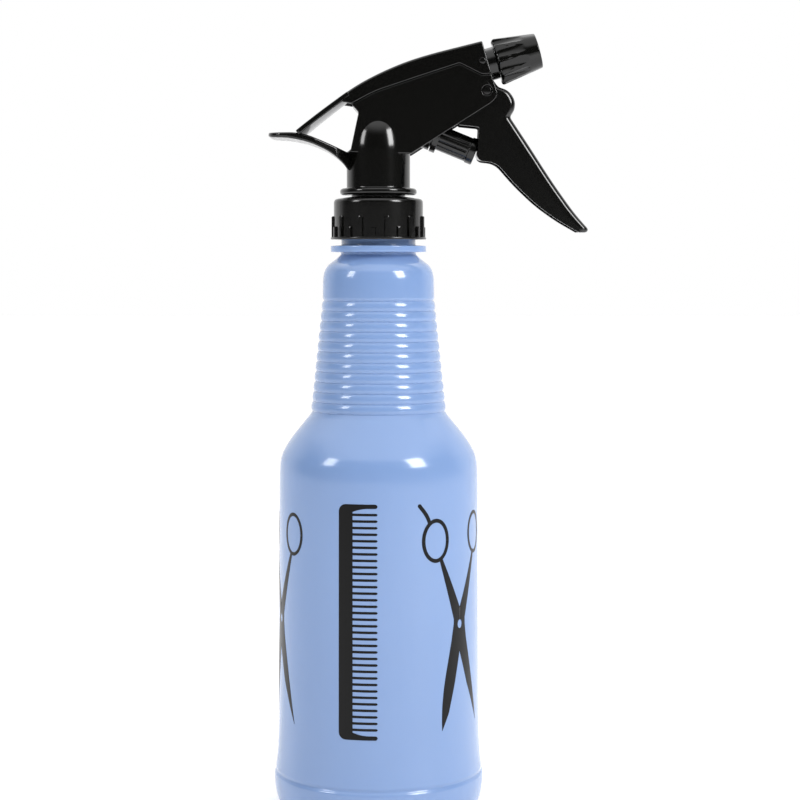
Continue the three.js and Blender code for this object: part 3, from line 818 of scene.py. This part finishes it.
# ---------------------------------------------------------------- cover
class SPRAYBOTTLE_OT_cover(bpy.types.Operator):
    """Snap-on top cover that runs back into the upper strap of the hand loop"""

    bl_idname = "spray_bottle.cover"
    bl_label = "Top cover"

    def execute(self, context):
        crown = [(35.5, 268.8), (17.8, 264.4, 5), (9.2, 261.7, 4), (0.7, 258.1, 4), (-6.2, 254.5, 3)]
        crown = evenly(softened([*crown, (-12, 250.7, 3), (-18.5, 245.8, 3), (-28.4, 237.95)]), 400)
        seam = [(x, z + 0.15, *reach) for x, z, *reach in STEP]
        rim = evenly(softened([*seam, (-12.3, 248.1)]), 220)
        x = np.interp(rim[:, 0], [-12.3, -9, 27.9, 35.5, 38.8], [-13, -10.6, 26.3, 32.6, 35.5])
        top = np.stack([x, np.interp(x, crown[::-1, 0], crown[::-1, 1])], -1)

        def half_width(x):
            """Half the cover's width: even over the head, and wider down the strap."""
            return np.interp(-x, [9, 13, 16, 20, 24, 27, 28.4], [8.6, 8.7, 9.6, 11, 12, 12, 11.2])

        shell = trough(top, rim, half_width(rim[:, 0]), 0.9, 1.4, 0.25)
        run = crown[crown[:, 0] < -10.5][::3]
        under = run + np.array([0.61, -0.79]) * 1.7
        loop = strap(run, under, half_width(run[:, 0] + 0.9), 0.35, 0.9)
        finished = finish("black cover plastic")
        made = piece("top_cover_shell", [shell, loop], finished, "head", ["top_cover"])
        bevelled(made, context.scene.spray_bottle_sizes.edge)
        return {"FINISHED"}


# ---------------------------------------------------------------- trigger
class SPRAYBOTTLE_OT_trigger(bpy.types.Operator):
    """Hooked trigger: a channel open behind, with trunnions, push rib and web"""

    bl_idname = "spray_bottle.trigger"
    bl_label = "Trigger"

    def execute(self, context):
        edge = context.scene.spray_bottle_sizes.edge
        front = [(39.4, 256), (41.3, 253.4, 1), (44.9, 252.3, 2), (47.2, 248.8, 2), (46.9, 245.6, 1.2)]
        front += [(45.3, 243.2, 1), (52.2, 232.9, 5), (59.9, 221, 6), (67.6, 210.3, 4), (72.6, 204.7, 0.9)]
        front += [(72, 203.6, 0.6), (69.5, 203.6)]
        rear = [(34.2, 253.6), (30.5, 247.5, 3), (27.6, 240.4, 0.5), (34.6, 239.7, 0.6), (34.1, 229.1, 0.8)]
        rear += [(35.2, 228.1, 0.8), (40.6, 227.5, 3), (46.8, 220.3, 4), (54.5, 213, 4), (62.2, 207.5, 4)]
        rear += [(69, 203.7)]
        shell = trough(evenly(softened(front), 240), evenly(softened(rear), 240), 6.9, 2.3, 1.1, 0.15)
        black = finish("black trigger plastic")
        made = piece("trigger_blade", [shell], black, "trigger", ["trigger"])
        bevelled(made, edge * 0.35)
        head = [(36.2, 255.4, 0.8), (38.4, 255.4, 0.8), (41.1, 251.7, 1), (44.4, 250.2, 1), (42, 249.2, 1)]
        head += [(36, 248, 1), (33.5, 247, 1), (30.9, 247.6, 0.6), (34.2, 253.5, 1)]
        tilt = math.radians(22)
        rib = (PUMP_AT[0] + 2.3 * math.cos(tilt), PUMP_AT[1] - 2.3 * math.sin(tilt))
        web = [(35.6, 229.2, 0.3), (53.2, 229.2, 0.3), (51.5, 232.4, 0.3), (36.2, 231.6, 0.3)]
        inner = [
            slab(softened(head, closed=True), -6.85, 6.85, 0.3),
            rod_across(PIVOT, 1.5, -8.2, 8.2, 0.3),
            rod_across(rib, 2, -6, 6),
            slab(softened(web, closed=True), -0.7, 0.7, 0.15),
        ]
        evened(piece("trigger_hub", inner, black, "trigger", ["trigger"]))
        return {"FINISHED"}


# ---------------------------------------------------------------- pump
class SPRAYBOTTLE_OT_pump(bpy.types.Operator):
    """Piston with its seals, guide bush and return spring"""

    bl_idname = "spray_bottle.pump"
    bl_label = "Pump"

    def execute(self, context):
        def on_pump(shell):
            """A shell made along Z, laid on the pump's axis."""
            return tilted(shell, PUMP_TURN, PUMP_AT)

        def fluted(r, z, a):
            """Ten shallow grooves along the rod: r - 0.4 max(0, cos 10 a)^2 between its collars."""
            along = np.clip((z - 3) / 0.4, 0, 1) * np.clip((14.6 - z) / 0.4, 0, 1)
            return r - (r > 4.2) * along * 0.4 * np.clip(np.cos(10 * a), 0, 1) ** 2

        groove = [(4.3, 0.1), (3.2, 0.1), (3.2, 1.4), (4.3, 1.4)]
        line = [(0, 0), (4.6, 0, 0.4), (4.6, 2.5, 0.3), (4.3, 2.6, 0.1)]
        line += [(4.3, z) for z in (3, 3.4, 14.2, 14.6)]
        line += [(r, z + 15.9) for r, z in groove] + [(r, z + 18) for r, z in groove]
        line += [(4.3, 19.9, 0.2), (2.7, 19.9, 0.2), (2.7, 5), (0, 5)]
        black, rubber = finish("black piston plastic"), finish("seal rubber")
        rod = on_pump(turned(softened(line), 160, fluted))
        piece("piston_rod", [rod], black, "piston", ["piston"])
        mouth = CYLINDER_MOUTH - 0.3
        bush = on_pump(turned(washer(4.45, 5.65, mouth - 2, mouth), 64))
        piece("guide_bush", [bush], black, "head", ["cylinder_bush"])
        for name, node, z in (("cup_seal", "piston_cup", 18), ("wiper_seal", "vent_seal", 15.9)):
            seal = on_pump(turned(washer(3.35, 4.5, z + 0.15, z + 1.35, 0.3), 48))
            piece(name, [seal], rubber, "piston", [node])
        spring = on_pump(coil(0.35, 1.9, 5.95, CYLINDER_FLOOR - 0.95, 7))
        made = piece("pump_spring", [spring], finish("spring steel"), "head", ["return_spring"])
        axis = axis_of(PUMP_TURN)
        fixed = [at + direction * (CYLINDER_FLOOR - 0.6) for at, direction in zip(PUMP_AT, axis[::2])]
        fixed[0] * MM
        fixed[1] * MM
        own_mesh(made)
        return {"FINISHED"}


# ---------------------------------------------------------------- supply
class SPRAYBOTTLE_OT_supply(bpy.types.Operator):
    """Valve housing, inlet ball and dip tube on the bottle's axis"""

    bl_idname = "spray_bottle.supply"
    bl_label = "Supply"

    def execute(self, context):
        outside = [(3.3, 204), (4.6, 204, 0.3), (4.6, 212.4, 0.3), (13, 212.4, 0.2), (13, 213.6, 0.2)]
        plug = [(6.7, 213.6, 0.2), (6.7, 221.7, 0.3), (2.6, 221.7, 0.2), (2.6, 218.9), (1.3, 217.6)]
        plug += [(1.3, 213.8), (3.3, 213.8)]
        housing = turned(round_trip([*outside, *plug]), 72)
        natural = finish("natural plastic")
        piece("supply_housing", [housing], natural, "head", ["valve_housing"])
        a = np.radians(np.linspace(-90, 90, 25))
        ball = turned(np.stack([2 * np.cos(a), 219.7 + 2 * np.sin(a)], -1), 40)
        piece("ball", [ball], finish("spring steel"), "inlet_ball", ["inlet_ball"])
        corners = [(3, 6, 0.2), (3, 14), (3, 213.4, 0.2), (2, 213.4, 0.2), (2, 14), (2, 6, 0.2)]
        points, faces = turned(round_trip(corners), 48)
        x, y, z = points.T
        # The foot of the tube is cut on a slant.
        points = np.stack([x, y, z + (z < 13) * (x + 3) * 0.62], -1)
        tube = finish("clear tube plastic")
        piece("supply_tube", [(points, faces)], tube, "head", ["dip_tube"])
        return {"FINISHED"}


# ---------------------------------------------------------------- outlet and nozzle
class SPRAYBOTTLE_OT_nozzle(bpy.types.Operator):
    """Outlet valve, its spring, spinner, seal ring, fluted nozzle and orifice insert"""

    bl_idname = "spray_bottle.nozzle"
    bl_label = "Nozzle"

    def execute(self, context):
        sizes = context.scene.spray_bottle_sizes
        deep, count = sizes.flute_depth / MM, sizes.flute_count

        def on_barrel(shell):
            """A shell made along Z, laid on the barrel's axis."""
            return tilted(shell, BARREL_TURN, BARREL_AT)

        def fluted(r, z, a):
            """Flutes: r less a hollow of round section, deepest at the rear and gone before the front."""
            step = a * count / (2 * np.pi)
            across = np.abs(step - np.round(step)) * 2 * np.pi / count * r
            fade = np.clip((10.6 - z) / 10, 0, 1)
            half = 1.0 + 1.05 * np.sqrt(fade)
            hollow = np.sqrt(np.clip(1 - (across / half) ** 2, 0, 1))
            return r - (r > 5.2) * deep * fade**0.8 * hollow

        cone = [(8.2 - 2.2 * t, 0.8 + 14.3 * t) for t in np.linspace(0.05, 0.95, 28)]
        outside = [(4.1, 0.1, 0.2), (7.8, 0.1, 0.5), (8.2, 0.8, 0.5), *cone, (6, 15.1, 0.4)]
        inside = [(3.4, 15.1, 0.3), (3.1, 12.2, 0.1), (1.2, 12.2, 0.1), (1.2, 10.6, 0.1), (4, 10.6, 0.2)]
        inside += [(4, 5, 0.1), (4.8, 5, 0.1), (4.8, 3.4, 0.1), (4, 3.4, 0.1)]
        cap = on_barrel(turned(round_trip([*outside, *inside]), count * 24, fluted))
        black = finish("black nozzle plastic")
        evened(piece("nozzle_shell", [cap], black, "nozzle", ["nozzle_cap"]))
        disc = [(0.45, 12.4), (2.9, 12.4, 0.2), (2.9, 14.1, 0.3), (1.9, 14.1, 0.3), (1.1, 13.5, 0.2)]
        disc += [(0.45, 13.3, 0.1)]
        insert = on_barrel(turned(round_trip(disc), 48))
        piece("orifice", [insert], black, "nozzle", ["orifice_insert"])
        ring = circle((4.05, 4.2), 0.62, 20)
        seal = on_barrel(turned(np.vstack([ring, ring[:1]]), 56))
        piece("seal_ring", [seal], finish("seal rubber"), "nozzle_seal", ["nozzle_o_ring"])
        stub = [(0, -13.3), (1.2, -13.3, 0.2), (2, -12.3, 0.2), (2, -11.2, 0.2), (0.8, -11, 0.1)]
        stub += [(0.8, -8.5, 0.2), (0, -8.5)]
        natural = finish("natural plastic")
        valve = on_barrel(turned(softened(stub), 40))
        piece("valve_plug", [valve], natural, "outlet_valve", ["outlet_valve"])

        def slotted(r, z, a):
            """Four grooves along the spinner, 0.7 deep."""
            return r - (r > 1.8) * 0.7 * (np.abs(np.sin(2 * a)) < 0.36)

        core = softened([(0, -1.8), (2.1, -1.8, 0.3), (2.1, 7.7, 0.3), (0, 7.7)])
        spinner = on_barrel(turned(core, 96, slotted))
        piece("swirl_core", [spinner], natural, "head", ["spinner"])
        spring = on_barrel(coil(0.22, 1.45, -10.38, -2.42, 6))
        made = piece("valve_spring", [spring], finish("spring steel"), "head", ["outlet_spring"])
        axis = axis_of(BARREL_TURN)
        fixed = [at - direction * 2.2 for at, direction in zip(BARREL_AT, axis[::2])]
        fixed[0] * MM
        fixed[1] * MM
        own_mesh(made)
        return {"FINISHED"}


# ---------------------------------------------------------------- stage
class SPRAYBOTTLE_OT_stage(bpy.types.Operator):
    """Pale floor, soft lights and the viewpoint"""

    bl_idname = "spray_bottle.stage"
    bl_label = "Stage"

    def softbox(self, name, place, size, power):
        """An area light that faces the middle of the bottle: its -Z axis points from the lamp to there."""
        lamp = bpy.data.lights.new(name, "AREA")
        lamp.shape, lamp.size, lamp.size_y, lamp.energy = "RECTANGLE", *size, power
        made = bpy.data.objects.new(name, lamp)
        made.location = place
        made.rotation_euler = (Vector((0, 0, 0.15)) - Vector(place)).to_track_quat("-Z", "Y").to_euler()
        bpy.context.scene.collection.objects.link(made)

    def surroundings(self):
        """A white room: bright above and behind, dim in front, and plain white where it is looked at."""
        made = Recipe(bpy.data.worlds.new("studio"), "Generated")
        sides = self.axes(made)
        glow = 0.06 + made.smooth(sides["Y"], 0.05, 0.6) * 0.95 + made.smooth(sides["Z"], 0.5, 0.8) * 1.45
        lit = made.node("ShaderNodeBackground", {}, {"Color": (1, 1, 1, 1), "Strength": glow})
        plain = made.node("ShaderNodeBackground", {}, {"Color": (1, 1, 1, 1), "Strength": 1.0})
        seen = made.node("ShaderNodeLightPath", {}, {}, "Is Camera Ray")
        both = made.node("ShaderNodeMixShader", {}, {0: seen, 1: lit, 2: plain})
        made.node("ShaderNodeOutputWorld", {}, {"Surface": both})
        return made.owner

    def axes(self, made):
        """The parts of the direction looked in."""
        return {axis: made.node("ShaderNodeSeparateXYZ", {}, {0: made.place}, axis) for axis in "YZ"}

    def execute(self, context):
        scene = context.scene
        half = 6.0
        corners = [(-half, -half, 0), (half, -half, 0), (half, half, 0), (-half, half, 0)]
        floor = bpy.data.meshes.new("floor")
        floor.from_pydata(corners, [], [(0, 1, 2, 3)])
        floor.materials.append(finish("pale floor"))
        ground = bpy.data.objects.new("floor", floor)
        scene.collection.objects.link(ground)
        self.softbox("softbox left", (-1.05, -0.56, 0.75), (0.3, 0.5), 5)
        self.softbox("softbox right", (0.85, -0.74, 0.75), (0.4, 0.6), 13)
        scene.world = self.surroundings()
        scene.view_settings.view_transform = "Standard"
        lens = bpy.data.cameras.new("camera")
        focal, sensor, look_down = 90, 36, 4.06
        lens.lens, lens.sensor_width, lens.dof.use_dof = focal, sensor, False
        camera = bpy.data.objects.new("camera", lens)
        camera.location = (0.0075, -0.698, 0.1948)
        camera.rotation_euler = (math.radians(90 - look_down), 0, 0)
        scene.collection.objects.link(camera)
        scene.camera = camera
        return {"FINISHED"}


OPERATORS = (
    SPRAYBOTTLE_OT_bottle,
    SPRAYBOTTLE_OT_print,
    SPRAYBOTTLE_OT_collar,
    SPRAYBOTTLE_OT_frame,
    SPRAYBOTTLE_OT_cover,
    SPRAYBOTTLE_OT_trigger,
    SPRAYBOTTLE_OT_pump,
    SPRAYBOTTLE_OT_supply,
    SPRAYBOTTLE_OT_nozzle,
    SPRAYBOTTLE_OT_stage,
)


class SPRAYBOTTLE_PT_panel(bpy.types.Panel):
    """The spray bottle's sizes, colours and makers"""

    bl_idname = "SPRAYBOTTLE_PT_panel"
    bl_label = "Spray Bottle"
    bl_space_type = "VIEW_3D"
    bl_region_type = "UI"
    bl_category = "Spray Bottle"

    def draw(self, context):
        for group in (context.scene.spray_bottle_sizes, context.scene.spray_bottle_colours):
            box = self.layout.box()
            for key in group.__annotations__:
                box.prop(group, key)
        for operator in OPERATORS:
            self.layout.operator(operator.bl_idname)


CLASSES = (SprayBottleSizes, SprayBottleColours, *OPERATORS, SPRAYBOTTLE_PT_panel)


def register():
    for kind in CLASSES:
        bpy.utils.register_class(kind)
    bpy.types.Scene.spray_bottle_sizes = PointerProperty(type=SprayBottleSizes)
    bpy.types.Scene.spray_bottle_colours = PointerProperty(type=SprayBottleColours)


def unregister():
    del bpy.types.Scene.spray_bottle_colours
    del bpy.types.Scene.spray_bottle_sizes
    for kind in reversed(CLASSES):
        bpy.utils.unregister_class(kind)


def main():
    """Builds every piece and the stage."""
    register()
    for operator in OPERATORS:
        group, name = operator.bl_idname.split(".")
        getattr(getattr(bpy.ops, group), name)()


if __name__ == "__main__":
    main()
